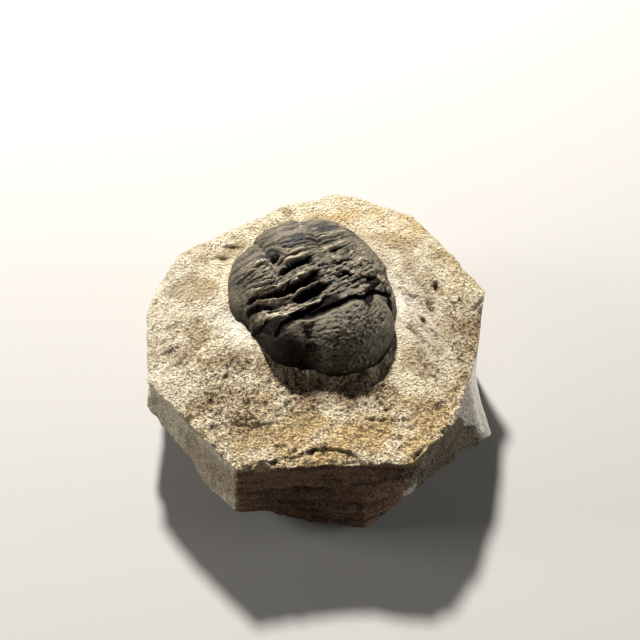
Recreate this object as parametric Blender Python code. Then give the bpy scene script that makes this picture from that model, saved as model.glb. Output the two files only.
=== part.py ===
"""A flexed trilobite, two solids: the black fossil and the limestone slab that it is bedded in.

The slab lies flat on its sawn base. The camera side is -Y, and the fossil's head points to +X and -Y.
"""

import bmesh
import bpy
import numpy as np

MM = 0.001
# Moves the whole object so that the middle of its box stands over the origin, in mm.
PLACE = np.array([-1.1, -2.66, 0.0])

# The slab, in mm. Each outline runs anticlockwise from the right-hand corner, seen from above.
SLAB_TOP = 26.0
SLAB_CENTRE = (0.0, 3.0)
RIM = (
    (37.8, -2.5), (40.2, 12.0), (31.5, 25.3), (23.6, 35.8), (12.0, 41.5), (5.0, 43.4), (-8.0, 38.7),
    (-25.0, 29.6), (-33.2, 23.2), (-38.8, 12.0), (-40.0, 5.0), (-38.4, -13.6), (-28.0, -25.0),
    (-17.0, -36.5), (2.0, -34.5), (21.0, -35.0), (30.5, -25.0), (34.5, -14.0),
)
LOWER_EDGE = (
    (38.5, -3.0, 3.0), (39.0, 9.0, 4.0), (31.0, 24.0, 4.0), (22.0, 34.0, 5.0), (5.0, 41.5, 6.0),
    (-24.0, 28.0, 6.0), (-33.0, 21.0, 8.0), (-39.0, 8.0, 13.0), (-39.5, -13.4, 16.0),
    (-36.6, -17.2, 12.5), (-29.0, -25.6, 11.5), (-26.3, -29.9, 8.5), (-18.6, -37.6, 8.0),
    (-7.0, -35.2, 2.0), (1.0, -37.0, 1.5), (11.0, -38.5, 1.5), (20.0, -33.0, 5.0),
    (34.5, -20.7, 5.0), (42.2, -14.4, 4.0),
)
BASE_EDGE = (
    (35.0, 8.0), (20.0, 29.0), (4.0, 35.0), (-20.0, 23.0), (-30.0, 10.0), (-31.0, -6.0),
    (-22.0, -21.0), (-8.0, -32.0), (10.0, -35.5), (18.0, -29.0), (32.0, -19.0), (38.5, -14.0),
)
RIM_WEAR = 0.35
LONG_SWELL = 0.55
SHORT_SWELL = 0.3
CORNER_CHIP = 2.4
FRONT_LEDGE = 0.9
BEDDING_DEPTH = 0.7
BROKEN_DEPTH = 1.5
SAW_WAVER = 0.25
# Directions from the slab's centre, in degrees, between which the front and the broken side fade in and out.
FRONT_SIDE = (243.0, 250.0, 294.0, 300.0)
BROKEN_SIDE = (295.0, 303.0, 330.0, 336.0)
# Crossing waves of a ripple: turn in radians, pace, and phase in radians.
WAVES = ((0.0, 6.28, 0.0), (1.9, 4.7, 1.3), (4.0, 8.1, 2.6))
TOP_RINGS = (0.10, 0.22, 0.34, 0.46, 0.58, 0.69, 0.79, 0.88, 0.955, 1.0)
SIDE_RINGS = (0.12, 0.3, 0.5, 0.72, 1.0)
UNDER_RINGS = (0.5, 1.0)
BASE_RINGS = (0.6, 0.25)
SLAB_RINGS = len(TOP_RINGS) + len(SIDE_RINGS) + len(UNDER_RINGS) + len(BASE_RINGS) + 1
SLAB_SPOKES = 64

# The fossil, in mm. It is rolled about an axis that runs across the body, just below the slab's top.
HEADING = np.radians(-58.0)
FORWARD = np.array([np.cos(HEADING), np.sin(HEADING), 0.0])
NEAR_SIDE = np.array([np.sin(HEADING), -np.cos(HEADING), 0.0])
UPWARD = np.array([0.0, 0.0, 1.0])
ROLL_CENTRE = np.array([-1.2, 10.3, 22.5])
HALF_WIDTH = 19.3
REACH_FRONT = 22.5
REACH_UP = 14.2
REACH_BACK = 22.0
REACH_DOWN = 8.0
ROUNDNESS = 2.2
SIDE_FULLNESS = 2.7
POCKET_GAP = 0.5
# Angles on the back, in degrees, where it comes out of the buried underside in front and behind.
FRONT_OPENS = (-25.0, 5.0)
BACK_CLOSES = (205.0, 180.0)
# The axis is the raised middle lobe. Its places and widths are shares of the half width.
AXIS_LIFT = 1.9
AXIS_PLACE = 0.10
AXIS_DRIFT = 0.17
AXIS_HALF = 0.35
AXIS_TAPER = 0.05
# Behind the head the ribs sweep back, at most by this many degrees, growing from this share of the half
# width outwards, and half as much on the far side.
RIB_SWEEP = 28.0
SWEEP_START = 0.4
# The crease that parts the head from the back: its angle and half width in degrees, its depth in mm.
CREASE_ANGLE = 50.0
CREASE_HALF = 2.4
CREASE_DEPTH = 1.8
# How much narrower the near side is, in mm, at these angles on the back, and how much wider the far side.
NEAR_LESS = ((0.0, 50.0, 70.0, 120.0, 140.0, 155.0, 170.0), (-0.6, 0.6, 1.8, 1.5, 0.3, 0.0, 1.0))
FAR_MORE = 0.9

# Hollows between the rings: rib angle, place across, half length across, half width in degrees, turn in
# degrees over the half length, and depth in mm. The first ones lie on the axis, then near, then far ones.
HOLES = (
    (53.8, 0.17, 0.20, 4.1, 0.0, 2.6),
    (67.0, 0.19, 0.19, 4.0, 0.5, 2.5),
    (79.0, 0.20, 0.20, 4.9, 0.5, 2.9),
    (99.5, 0.15, 0.21, 3.4, 0.0, 2.3),
    (117.5, 0.28, 0.08, 4.0, 0.0, 1.7),
    (54.0, 0.66, 0.29, 3.4, 0.5, 2.4),
    (69.5, 0.77, 0.18, 4.6, 3.5, 2.3),
    (82.8, 0.64, 0.21, 4.6, 1.5, 2.5),
    (98.5, 0.57, 0.15, 2.6, 0.5, 0.8),
    (122.5, 0.58, 0.17, 2.4, 1.0, 1.3),
    (69.5, -0.29, 0.12, 2.8, 1.5, 1.0),
    (83.0, -0.40, 0.14, 2.6, 1.0, 0.9),
    (46.0, -0.43, 0.15, 3.2, -4.0, 2.0),
)

# Swellings of the head: angle, distance across, depth of the centre, and half sizes out, across, along.
CHEEKS = (19.0, 0.4, 8.2, (12.7, 16.8, 14.0))
GLABELLA = (19.0, -0.3, 15.4, (10.3, 11.8, 10.6))
NEAR_EYE = (37.0, 12.9, 12.6, (7.2, 4.7, 6.2))

FOSSIL_TURNS = 80
FOSSIL_ROWS = 34
# Shares of a full turn, and the ribs they reach: fine over the rings, coarse underneath.
TURN_SHARES = (0.0, 0.25, 0.82, 0.92, 1.0)
TURN_RIBS = (-22.0, 46.0, 126.0, 190.0, 338.0)


def ramp(low, high, x):
    """Smooth step: 0 up to low, 1 from high on, with an S curve between."""
    share = np.clip((x - low) / (high - low), 0.0, 1.0)
    return share * share * (3.0 - 2.0 * share)


def hump(x, middle, half):
    """Bell curve, 1 at the middle."""
    return np.exp(-(((x - middle) / half) ** 2))


def plateau(x, middle, half):
    """Flat-topped bell with steep sides, 1 at the middle."""
    return np.exp(-(np.abs((x - middle) / half) ** 3.5))


def joined(a, b, blend):
    """The greater of two distances, rounded off where they cross."""
    share = np.clip(0.5 + 0.5 * (a - b) / blend, 0.0, 1.0)
    return b + (a - b) * share + blend * share * (1.0 - share)


def ripple(x, y, length, turn):
    """Mean of three crossing waves of about this length, between -1 and 1."""
    total = 0.0
    for more, pace, phase in WAVES:
        way = x * np.cos(turn + more) + y * np.sin(turn + more)
        total = total + np.sin(way * pace / length + phase)
    return total / len(WAVES)


def roll_reach(angle):
    """Distance from the roll axis to the back at mid width: a rounded oval with four half axes."""
    forward = np.cos(angle)
    upward = np.sin(angle)
    along = np.where(forward > 0.0, REACH_FRONT, REACH_BACK)
    over = np.where(upward > 0.0, REACH_UP, REACH_DOWN)
    return (np.abs(forward / along) ** ROUNDNESS + np.abs(upward / over) ** ROUNDNESS) ** (-1.0 / ROUNDNESS)


def side_fall(across):
    """Share of the height left at this share of the half width: flat in the middle, steep at the side."""
    return (1.0 - np.clip(np.abs(across), 0.0, 1.0) ** SIDE_FULLNESS) ** (1.0 / ROUNDNESS)


def swelling(angle, across, form):
    """Distance from the roll axis to the far side of an ellipsoid, or 0 where the ray misses it."""
    middle, offset, depth, (out, wide, long) = form
    turn = angle - np.radians(middle)
    out_part = np.cos(turn)
    long_part = np.sin(turn)
    side = (across * HALF_WIDTH - offset) / wide
    square = (out_part / out) ** 2 + (long_part / long) ** 2
    linear = -2.0 * out_part * depth / out**2
    rest = (depth / out) ** 2 + side**2 - 1.0
    inside = linear**2 - 4.0 * square * rest
    far_side = (-linear + np.sqrt(np.maximum(inside, 0.0))) / (2.0 * square)
    return np.where(inside > 0.0, np.maximum(far_side, 0.0), 0.0)


def swept_angle(rib, across):
    """Angle at which the line of a rib passes a point across the body: behind the head it turns back
    with the square of the distance from the axis, and less towards the tail."""
    sweep = RIB_SWEEP * (1.0 - np.exp(np.minimum(54.0 - rib, 0.0) / 12.0)) * ramp(215.0, 130.0, rib)
    bend = (np.clip(np.abs(across) - SWEEP_START, 0.0, 0.5) / 0.45) ** 2
    return np.radians(rib + sweep * bend * np.where(across > 0.0, 1.0, 0.5))


def crease_line(across):
    """Angle of the crease behind the head, in degrees: it bends forward at both sides."""
    near = 6.0 * ramp(0.70, 0.85, across)
    far = 5.0 * ramp(-0.1, -0.4, across) + 14.0 * ramp(-0.45, -0.75, across)
    return CREASE_ANGLE + 3.5 * ramp(0.40, 0.55, across) - near - far


def hollows(rib, across):
    """Depth cut out of the plain back: a flat-bottomed hollow at each place in HOLES."""
    cut = 0.0
    for middle, place, long, half, turn, deep in HOLES:
        line = middle + turn * (across - place) / long
        cut = cut + deep * plateau(across, place, long) * plateau(rib, line, half)
    return cut


def plain_back(degrees, across):
    """Distance from the roll axis to the back without its hollows: the rolled oval with the raised axis
    on it, lower at the head and at the far side of the tail."""
    above = ramp(*FRONT_OPENS, degrees) * ramp(*BACK_CLOSES, degrees)
    from_axis = across - AXIS_PLACE + AXIS_DRIFT * ramp(95.0, 150.0, degrees)
    half_axis = AXIS_HALF - AXIS_TAPER * ramp(110.0, 170.0, degrees)
    lobe = np.sqrt(np.clip(1.0 - (from_axis / half_axis) ** 2, 0.0, 1.0))
    lift = AXIS_LIFT * (0.6 + 0.4 * ramp(95.0, 140.0, degrees)) * ramp(48.0, 54.0, degrees)
    reach = roll_reach(np.radians(degrees)) + lift * lobe * above
    reach = reach + 1.0 * hump(from_axis, -0.75, 0.3) * ramp(95.0, 130.0, degrees) * above
    head_drop = 0.8 + 1.2 * ramp(0.0, 0.6, np.abs(from_axis))
    fade = 3.0 + 9.0 * ramp(0.4, 0.8, np.abs(across))
    reach = reach - head_drop * ramp(53.0 + fade, 53.0 - fade, degrees) * above
    return reach - 1.1 * ramp(125.0, 142.0, degrees) * ramp(-0.38, -0.22, across) * above


def fossil_reach(angle, across, cut):
    """Distance from the roll axis to the fossil's surface: the back less the cut, narrowed to the sides,
    then the cheeks, the glabella and the near eye joined on."""
    degrees = np.degrees(angle)
    above = ramp(*FRONT_OPENS, degrees) * ramp(*BACK_CLOSES, degrees)
    narrowing = 1.0 - 0.05 * ramp(60.0, 40.0, degrees) * above
    edge = 0.55 * side_fall(across) * ramp(0.8, 1.0, np.abs(across))
    reach = (plain_back(degrees, across) - cut) * np.maximum(side_fall(across / narrowing), edge)
    reach = joined(reach, swelling(angle, across, CHEEKS) * ramp(62.0, 50.0, degrees), 1.5)
    reach = joined(reach, swelling(angle, across, GLABELLA), 0.35)
    reach = joined(reach, swelling(angle, across, NEAR_EYE), 0.5)
    return reach * (np.abs(across) < 1.0)


def fossil_points(sphere, relief, gap):
    """Turns points of a unit sphere into the fossil's surface: longitude becomes the rib, whose line
    gives the angle about the roll axis, and height becomes the share of the half width."""
    share = np.arctan2(sphere[:, 1], sphere[:, 0]) / (2.0 * np.pi) % 1.0
    rib = np.interp(share, TURN_SHARES, TURN_RIBS)
    across = np.clip(sphere[:, 2], -1.0, 1.0)
    angle = swept_angle(rib, across)
    degrees = np.degrees(angle)
    above = ramp(*FRONT_OPENS, degrees)
    cut = hollows(rib, across) * above if relief else 0.0
    reach = fossil_reach(angle, across, cut)
    if relief:
        crease = plateau(degrees, crease_line(across), CREASE_HALF) * ramp(0.93, 0.75, across)
        reach = reach - CREASE_DEPTH * crease * ramp(-0.95, -0.85, across) * above
    at_pole = np.hypot(sphere[:, 0], sphere[:, 1]) < 1e-6
    reach = np.where(at_pole, 0.0, reach + gap)
    near_less = np.interp(degrees, *NEAR_LESS) * ramp(0.5, 1.0, across)
    sideways = across * (HALF_WIDTH + gap) - near_less - FAR_MORE * ramp(-0.4, -1.0, across)
    outward = np.cos(angle)[:, None] * FORWARD + np.sin(angle)[:, None] * UPWARD
    return ROLL_CENTRE + sideways[:, None] * NEAR_SIDE + reach[:, None] * outward


def fossil_surface(sphere):
    return fossil_points(sphere, True, 0.0)


def pocket_surface(sphere):
    """The fossil's plain form, a little larger all round: the bed that it lies in."""
    return fossil_points(sphere, False, POCKET_GAP)


def outline_reach(turn, corners):
    """Distance and height of an outline in each direction from the slab's centre, along straight edges
    between its corners: the crossing of each direction with the edge that it meets."""
    start = np.array([(*corner, 0.0)[:3] for corner in corners])
    start[:, :2] -= SLAB_CENTRE
    edge = np.roll(start, -1, axis=0) - start
    ray_x = np.cos(turn)[:, None]
    ray_y = np.sin(turn)[:, None]
    slant = ray_x * edge[:, 1] - ray_y * edge[:, 0]
    slant = np.where(np.abs(slant) < 1e-9, 1e-9, slant)
    distance = (start[:, 0] * edge[:, 1] - start[:, 1] * edge[:, 0]) / slant
    along = (start[:, 0] * ray_y - start[:, 1] * ray_x) / slant
    meets = (along > -1e-6) & (along < 1.0 + 1e-6) & (distance > 0.0)
    chosen = np.argmin(np.where(meets, distance, np.inf), axis=1)
    row = np.arange(len(turn))
    return distance[row, chosen], start[chosen, 2] + along[row, chosen] * edge[chosen, 2]


def top_height(x, y, rim_share):
    """Height of the slab's top: slow swells, a chipped bevel at the right-hand corner, and a low ledge
    along the front, with the rim worn down a little."""
    height = SLAB_TOP + LONG_SWELL * ripple(x, y, 34.0, 0.4) + SHORT_SWELL * ripple(x, y, 15.0, 2.1)
    right_chip = ramp(33.0, 39.0, x + 0.12 * y) * ramp(11.5, 9.5, y) * ramp(-12.0, -4.0, y)
    front_ledge = ramp(-31.5, -33.0, y + 0.05 * x) * ramp(8.0, -2.0, x)
    worn = RIM_WEAR * ramp(0.965, 1.0, rim_share)
    return height - CORNER_CHIP * right_chip - FRONT_LEDGE * front_ledge - worn


def side_bulge(turn, fall, height):
    """How far the side stands out from the straight wall: bedding layers on the front, broken lumps on
    the right of it, and nearly flat sawn faces elsewhere."""
    degrees = np.degrees(turn) % 360.0
    front = ramp(*FRONT_SIDE[:2], degrees) * ramp(*FRONT_SIDE[:1:-1], degrees)
    broken = ramp(*BROKEN_SIDE[:2], degrees) * ramp(*BROKEN_SIDE[:1:-1], degrees)
    layers = BEDDING_DEPTH * np.sin(height * 1.15 + 0.6 * np.sin(degrees * 0.11))
    lumps = BROKEN_DEPTH * ripple(degrees * 0.8, height * 1.4, 14.0, 0.7)
    waver = SAW_WAVER * ripple(degrees * 0.7, height, 20.0, 1.5)
    return (front * layers + broken * lumps + waver) * np.sin(np.pi * np.clip(fall, 0.0, 1.0))


def slab_surface(sphere):
    """Turns points of a unit sphere into the slab: each ring of latitude becomes a ring on the top, down
    the side, under the lower edge or across the base, and each longitude a direction from the centre."""
    ring = np.rint((0.5 - np.arcsin(np.clip(sphere[:, 2], -1.0, 1.0)) / np.pi) * SLAB_RINGS).astype(int)
    spoke = np.rint(np.arctan2(sphere[:, 1], sphere[:, 0]) / (2.0 * np.pi) * SLAB_SPOKES).astype(int)
    turn = slab_turns()[spoke % SLAB_SPOKES]
    rim, _ = outline_reach(turn, RIM)
    lower, lower_height = outline_reach(turn, LOWER_EDGE)
    base, _ = outline_reach(turn, BASE_EDGE)

    share = np.array((0.0, *TOP_RINGS, *SIDE_RINGS, *UNDER_RINGS, *BASE_RINGS, 0.0))[ring]
    on_top = ring <= len(TOP_RINGS)
    on_side = ~on_top & (ring <= len(TOP_RINGS) + len(SIDE_RINGS))
    on_base = ring > len(TOP_RINGS) + len(SIDE_RINGS) + len(UNDER_RINGS)
    cos_turn = np.cos(turn)
    sin_turn = np.sin(turn)
    rim_x = SLAB_CENTRE[0] + rim * cos_turn
    rim_y = SLAB_CENTRE[1] + rim * sin_turn
    rim_height = top_height(rim_x, rim_y, np.ones_like(rim))
    side_height = rim_height + share * (lower_height - rim_height)
    side = rim + share * (lower - rim) + side_bulge(turn, share, side_height)
    under = lower + share * (base - lower)
    under_height = lower_height * (1.0 - share)

    distance = np.where(on_top, share * rim, np.where(on_side, side, np.where(on_base, share * base, under)))
    x = SLAB_CENTRE[0] + distance * cos_turn
    y = SLAB_CENTRE[1] + distance * sin_turn
    flat = np.where(on_side, side_height, np.where(on_base, 0.0, under_height))
    height = np.where(on_top, top_height(x, y, share), flat)
    return np.stack([x, y, height], axis=-1)


def slab_turns():
    """Directions of the slab's spokes: evenly spread, with the nearest free one moved to each corner of
    the rim and to the tip of the lower edge."""
    turns = np.linspace(0.0, 2.0 * np.pi, SLAB_SPOKES, endpoint=False)
    free = np.ones(SLAB_SPOKES, bool)
    for x, y, *_ in (*RIM, LOWER_EDGE[-1]):
        corner = np.arctan2(y - SLAB_CENTRE[1], x - SLAB_CENTRE[0]) % (2.0 * np.pi)
        nearest = np.argmin(np.where(free, np.abs(turns - corner), np.inf))
        turns[nearest] = corner
        free[nearest] = False
    return np.sort(turns)


def clear_scene():
    for item in list(bpy.data.objects):
        bpy.data.objects.remove(item, do_unlink=True)


def new_collection(name):
    collection = bpy.data.collections.new(name)
    bpy.context.scene.collection.children.link(collection)
    return collection


def stone_material(name, colour, roughness):
    material = bpy.data.materials.new(name)
    material.use_nodes = True
    shader = material.node_tree.nodes["Principled BSDF"]
    shader.inputs["Base Color"].default_value = (*colour, 1.0)
    shader.inputs["Roughness"].default_value = roughness
    shader.inputs["Metallic"].default_value = 0.0
    return material


def shaped_sphere(name, segments, rings, shape, collection, material):
    """A UV sphere whose points are all moved at once by a shape function in mm."""
    form = bmesh.new()
    bmesh.ops.create_uvsphere(form, u_segments=segments, v_segments=rings, radius=1.0)
    sphere = np.array([point.co for point in form.verts])
    for point, place in zip(form.verts, shape(sphere) * MM):
        point.co = place
    mesh = bpy.data.meshes.new(name)
    form.to_mesh(mesh)
    form.free()
    mesh.materials.append(material)
    mesh.shade_smooth()
    item = bpy.data.objects.new(name, mesh)
    item.location = PLACE * MM
    collection.objects.link(item)
    return item


def build():
    """Makes the fossil, then the slab with the fossil's bed cut out of its top."""
    clear_scene()
    parts = new_collection("trilobite_fossil")
    cutters = new_collection("cutters")
    cutters.hide_render = True
    shell_black = stone_material("fossil_black", (0.035, 0.034, 0.032), 0.5)
    limestone = stone_material("limestone_tan", (0.55, 0.44, 0.28), 0.9)

    shaped_sphere("trilobite", FOSSIL_TURNS, FOSSIL_ROWS, fossil_surface, parts, shell_black)
    pocket = shaped_sphere("pocket_cutter", FOSSIL_TURNS, FOSSIL_ROWS, pocket_surface, cutters, shell_black)
    pocket.hide_render = True
    pocket.display_type = "WIRE"
    slab = shaped_sphere("limestone_matrix", SLAB_SPOKES, SLAB_RINGS, slab_surface, parts, limestone)
    bed = slab.modifiers.new("Pocket", "BOOLEAN")
    bed.operation = "DIFFERENCE"
    bed.solver = "EXACT"
    bed.object = pocket


build()
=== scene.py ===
"""The flexed trilobite on its limestone slab, dressed for the camera: two fine surfaces over two solids.

Lengths are in millimetres until a surface goes into its mesh. Height 0 is the slab's base, the camera
side is -Y, and the fossil's head points to +X and -Y.
"""

import bpy
import numpy as np
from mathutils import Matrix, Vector


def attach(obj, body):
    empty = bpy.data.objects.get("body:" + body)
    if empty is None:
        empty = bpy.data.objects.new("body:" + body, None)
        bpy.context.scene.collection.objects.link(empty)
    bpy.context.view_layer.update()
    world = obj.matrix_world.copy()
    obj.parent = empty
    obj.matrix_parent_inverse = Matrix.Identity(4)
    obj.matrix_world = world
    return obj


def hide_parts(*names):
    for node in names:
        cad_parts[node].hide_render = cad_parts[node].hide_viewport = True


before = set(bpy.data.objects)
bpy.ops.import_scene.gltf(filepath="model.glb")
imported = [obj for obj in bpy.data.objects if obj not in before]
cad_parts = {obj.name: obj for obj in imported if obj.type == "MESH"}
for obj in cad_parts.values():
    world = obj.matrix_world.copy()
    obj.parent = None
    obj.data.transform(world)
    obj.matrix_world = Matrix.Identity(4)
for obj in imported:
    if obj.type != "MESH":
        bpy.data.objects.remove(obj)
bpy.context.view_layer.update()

MM = 0.001
# Moves both pieces so that the middle of the object's box stands over the origin.
PLACE = np.array([-1.1, -2.66, 0.0])

# The slab.
SLAB_TOP = 26.0
SLAB_CENTRE = (0.0, 3.0)
RIM = (
    (37.8, -2.5), (40.2, 12.0), (31.5, 25.3), (23.6, 35.8), (12.0, 41.5), (5.0, 43.4), (-8.0, 38.7),
    (-25.0, 29.6), (-33.2, 23.2), (-38.8, 12.0), (-40.0, 5.0), (-38.4, -13.6), (-28.0, -25.0),
    (-17.0, -36.5), (2.0, -34.5), (21.0, -35.0), (30.5, -25.0), (34.5, -14.0),
)
LOWER_EDGE = (
    (38.5, -3.0, 3.0), (39.0, 9.0, 4.0), (31.0, 24.0, 4.0), (22.0, 34.0, 5.0), (5.0, 41.5, 6.0),
    (-24.0, 28.0, 6.0), (-33.0, 21.0, 8.0), (-39.0, 8.0, 13.0), (-39.5, -13.4, 16.0),
    (-36.6, -17.2, 12.5), (-29.0, -25.6, 11.5), (-26.3, -29.9, 8.5), (-18.6, -37.6, 8.0),
    (-7.0, -35.2, 2.0), (1.0, -37.0, 1.5), (11.0, -38.5, 1.5), (20.0, -33.0, 5.0),
    (34.5, -20.7, 5.0), (42.2, -14.4, 4.0),
)
BASE_EDGE = (
    (35.0, 8.0), (20.0, 29.0), (4.0, 35.0), (-20.0, 23.0), (-30.0, 10.0), (-31.0, -6.0),
    (-22.0, -21.0), (-8.0, -32.0), (10.0, -35.5), (18.0, -29.0), (32.0, -19.0), (38.5, -14.0),
)
# The crack behind the low ledge along the front: places from left to right, and how far back it runs.
FRONT_LINE = (
    (-17.0, -14.2, -8.8, -5.6, -1.3, 3.1, 7.4, 12.0),
    (-36.4, -35.2, -34.2, -33.2, -31.7, -31.2, -32.0, -35.4),
)
# The faces of the side, as directions from the slab's centre in degrees.
FAR_SIDE = (20.0, 155.0)
LEFT_FACE = (165.0, 243.0)
FRONT_FACE = (247.0, 299.0)
BROKEN_FACE = (300.0, 336.0)
WHITE_FACE = (317.0, 346.0)
BED_DEPTH = 4.5
SLAB_SPOKES = 540
TOP_ROWS = 112
SIDE_ROWS = 48
UNDER_ROWS = 10
BASE_ROWS = 6

# Oval spots on the top: middle, half length, half width, turn in radians, strength.
SCRAPED = (((-19.0, 1.5), 7.5, 4.0, -0.95, 1.0), ((23.0, 7.0), 14.0, 6.0, 1.9, 0.8))
FLAKED = (((23.5, 7.0), 15.0, 5.0, 1.9, 1.0),)
PITS = (
    ((28.8, 13.3), 1.4, 0.7, 2.2, 1.0),
    ((27.0, 8.0), 2.2, 0.9, 1.9, 1.0),
    ((25.2, 3.6), 1.3, 0.7, 2.4, 1.0),
    ((22.4, 1.0), 1.6, 0.8, 2.2, 1.0),
)
GOUGES = (((-20.5, 25.8), 3.9, 0.45, 0.05, 1.0), ((-22.8, 22.2), 2.8, 0.40, 0.1, 1.0))
BROWN_AND_SHADOW_PLACES = (
    ((-19.5, -20.5), 9.0, 5.5, -0.6, 0.65),
    ((3.0, -18.0), 14.0, 6.0, 0.0, 0.3),
    # Painted shadow: this spot browns the stone where the head's shadow falls.
    ((4.5, -16.5), 9.0, 3.2, 0.0, 1.5),
    ((-17.0, -9.0), 9.0, 6.0, 0.0, 0.35),
    ((27.0, -9.0), 9.0, 4.0, 1.7, 0.35),
)
# Painted shadow: a near-black patch on the top where the head's shadow falls.
PAINTED_SHADOW_PLACES = (((5.0, -15.0), 9.0, 3.4, 0.0, 0.95),)

# Stains of the stone, with the painted shadow under the head carried in the brown and seam_pit_and_shadow
# shares, and what they are on the underside and base, where it isn't 0.
STAINS = ("ochre", "brown", "pale", "white", "seam_pit_and_shadow", "bedded", "broken", "grainy")
UNDER_STAINS = {"ochre": 0.2, "brown": 0.2, "broken": 0.5, "grainy": 0.6}

# The fossil.
HEADING = np.radians(-58.0)
FORWARD = np.array([np.cos(HEADING), np.sin(HEADING), 0.0])
NEAR_SIDE = np.array([np.sin(HEADING), -np.cos(HEADING), 0.0])
UPWARD = np.array([0.0, 0.0, 1.0])
ROLL_CENTRE = np.array([-1.2, 10.3, 22.5])
HALF_WIDTH = 19.3
REACH_FRONT = 22.5
REACH_UP = 14.2
REACH_BACK = 22.0
REACH_DOWN = 8.0
ROUNDNESS = 2.2
SIDE_FULLNESS = 2.7
AXIS_LIFT = 1.9
# Swellings: the centre's angle in degrees, place across and distance out, and the half lengths
# outwards, across and along.
CHEEKS = (19.0, 0.4, 8.2, (12.7, 16.8, 14.0))
GLABELLA = (19.0, -0.3, 15.4, (10.3, 11.8, 10.6))
NEAR_EYE = (37.0, 12.9, 12.6, (7.2, 4.7, 6.2))
# Angles round the roll, and how much narrower the near side is there.
NEAR_LESS = ((0.0, 50.0, 70.0, 120.0, 140.0, 155.0, 170.0), (-0.6, 0.6, 1.8, 1.5, 0.3, 0.0, 1.0))
# Greatest height over the roll centre, so that the finest relief stays inside the solid's box.
TALLEST = 15.45
FOSSIL_RIBS = 400
FOSSIL_COLUMNS = 240

# Hollows between and in the rings: rib angle, place across, half length across, half width in degrees,
# turn in degrees over the half length, depth.
HOLES = (
    (53.8, 0.17, 0.20, 3.3, 0.0, 2.0),
    (67.0, 0.19, 0.19, 3.4, 0.5, 2.5),
    (79.0, 0.20, 0.20, 4.0, 0.5, 2.8),
    (99.5, 0.15, 0.21, 3.0, 0.0, 2.3),
    (117.5, 0.28, 0.06, 4.0, 0.0, 2.0),
    (108.5, 0.17, 0.15, 0.9, 0.0, 0.8),
    (54.0, 0.66, 0.29, 3.2, 0.5, 2.7),
    (69.5, 0.77, 0.16, 4.0, 3.5, 2.5),
    (82.8, 0.64, 0.21, 3.9, 1.5, 2.4),
    (96.5, 0.55, 0.11, 0.9, 0.0, 0.8),
    (99.8, 0.58, 0.15, 0.9, 0.5, 0.9),
    (108.0, 0.60, 0.14, 0.7, 0.0, 0.4),
    (122.5, 0.58, 0.17, 1.6, 1.0, 1.7),
    (83.0, -0.40, 0.13, 1.5, 1.0, 1.0),
    (69.5, -0.29, 0.09, 2.2, 1.5, 1.3),
    (99.5, -0.42, 0.08, 1.1, 0.5, 0.8),
    (58.5, -0.41, 0.15, 0.9, 1.2, 0.8),
    (46.0, -0.43, 0.15, 2.8, -4.0, 2.4),
    (51.0, -0.59, 0.06, 4.0, 0.0, 2.0),
    (29.0, -0.64, 0.05, 10.0, -9.0, 1.6),
    (109.0, -0.91, 0.03, 1.6, 0.0, 0.8),
)

# Ridges that stand up along the rings, in the same form, with the height last.
RIDGES = (
    (60.6, 0.20, 0.22, 1.8, 0.0, 0.6),
    (60.5, 0.66, 0.26, 2.2, 1.0, 0.9),
    (72.8, 0.20, 0.20, 1.5, 0.0, 0.7),
    (75.8, 0.66, 0.22, 2.0, 2.5, 0.9),
    (87.5, 0.22, 0.22, 2.4, 0.5, 0.6),
    (91.5, 0.60, 0.20, 2.4, 3.0, 1.2),
    (105.0, 0.18, 0.16, 1.8, 0.0, 0.4),
    (112.5, 0.17, 0.12, 1.8, 0.0, 0.4),
    (104.0, 0.58, 0.12, 1.8, 0.0, 0.3),
    (126.0, 0.60, 0.18, 1.8, 1.0, 0.4),
    (90.0, -0.40, 0.20, 2.0, 0.0, 0.3),
    (76.5, -0.33, 0.22, 2.0, 0.0, 0.3),
    (64.0, -0.40, 0.24, 1.8, 0.0, 0.3),
)

# Colours.
CREAM = (0.86, 0.765, 0.56)
TAN = (0.52, 0.41, 0.245)
OCHRE = (0.82, 0.59, 0.27)
UMBER = (0.20, 0.12, 0.06)
CHALK = (0.47, 0.455, 0.42)
BEDDED_BROWN = (0.34, 0.18, 0.10)
WHITE = (0.92, 0.88, 0.79)
# Near-black of the front's bedding seams and the pits, and the painted shadow under the head.
SEAM_PIT_AND_SHADOW = (0.045, 0.026, 0.016)
BROKEN_GREY = (0.085, 0.066, 0.044)
# Stains in the order in which they lie over one another: name, strength, colour. The brown and the
# near-black also paint the shadow under the head.
STONE_COLOURS = (
    # Brown also paints the shadow under the head.
    ("brown", 0.50, UMBER),
    ("bedded", 0.90, BEDDED_BROWN),
    ("seam_pit_and_shadow", 0.75, SEAM_PIT_AND_SHADOW),
    ("broken", 0.80, BROKEN_GREY),
    ("pale", 0.78, CHALK),
    ("white", 0.95, WHITE),
)
# Grain colours: the first is painted shade for the grain's low spots, partly the stone's own grain tone.
GRAIN_SHADE = (0.30, 0.25, 0.19)
LIGHT_GRAIN = (1.0, 1.0, 1.0)
SPECK = (0.07, 0.045, 0.025)
# Crumb colour: partly the stone's own light crumbs, partly a painted highlight on raised points.
CRUMB_AND_HIGHLIGHT = (0.90, 0.83, 0.68)
FOSSIL_GREY = (0.070, 0.059, 0.041)
FOSSIL_WARM = (0.108, 0.092, 0.063)
FOSSIL_WORN = (0.27, 0.235, 0.168)
# Painted shade: near-black for the hollows and the crease.
FOSSIL_HOLLOW_SHADE = (0.006, 0.005, 0.005)
# Painted shade: black for the faces turned from the light and for the low places.
FOSSIL_SHADE_BLACK = (0.009, 0.0078, 0.0066)
FLOOR_GREY = (0.31, 0.305, 0.297)
ROOM_GREY = (0.95, 0.93, 0.90)

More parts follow.
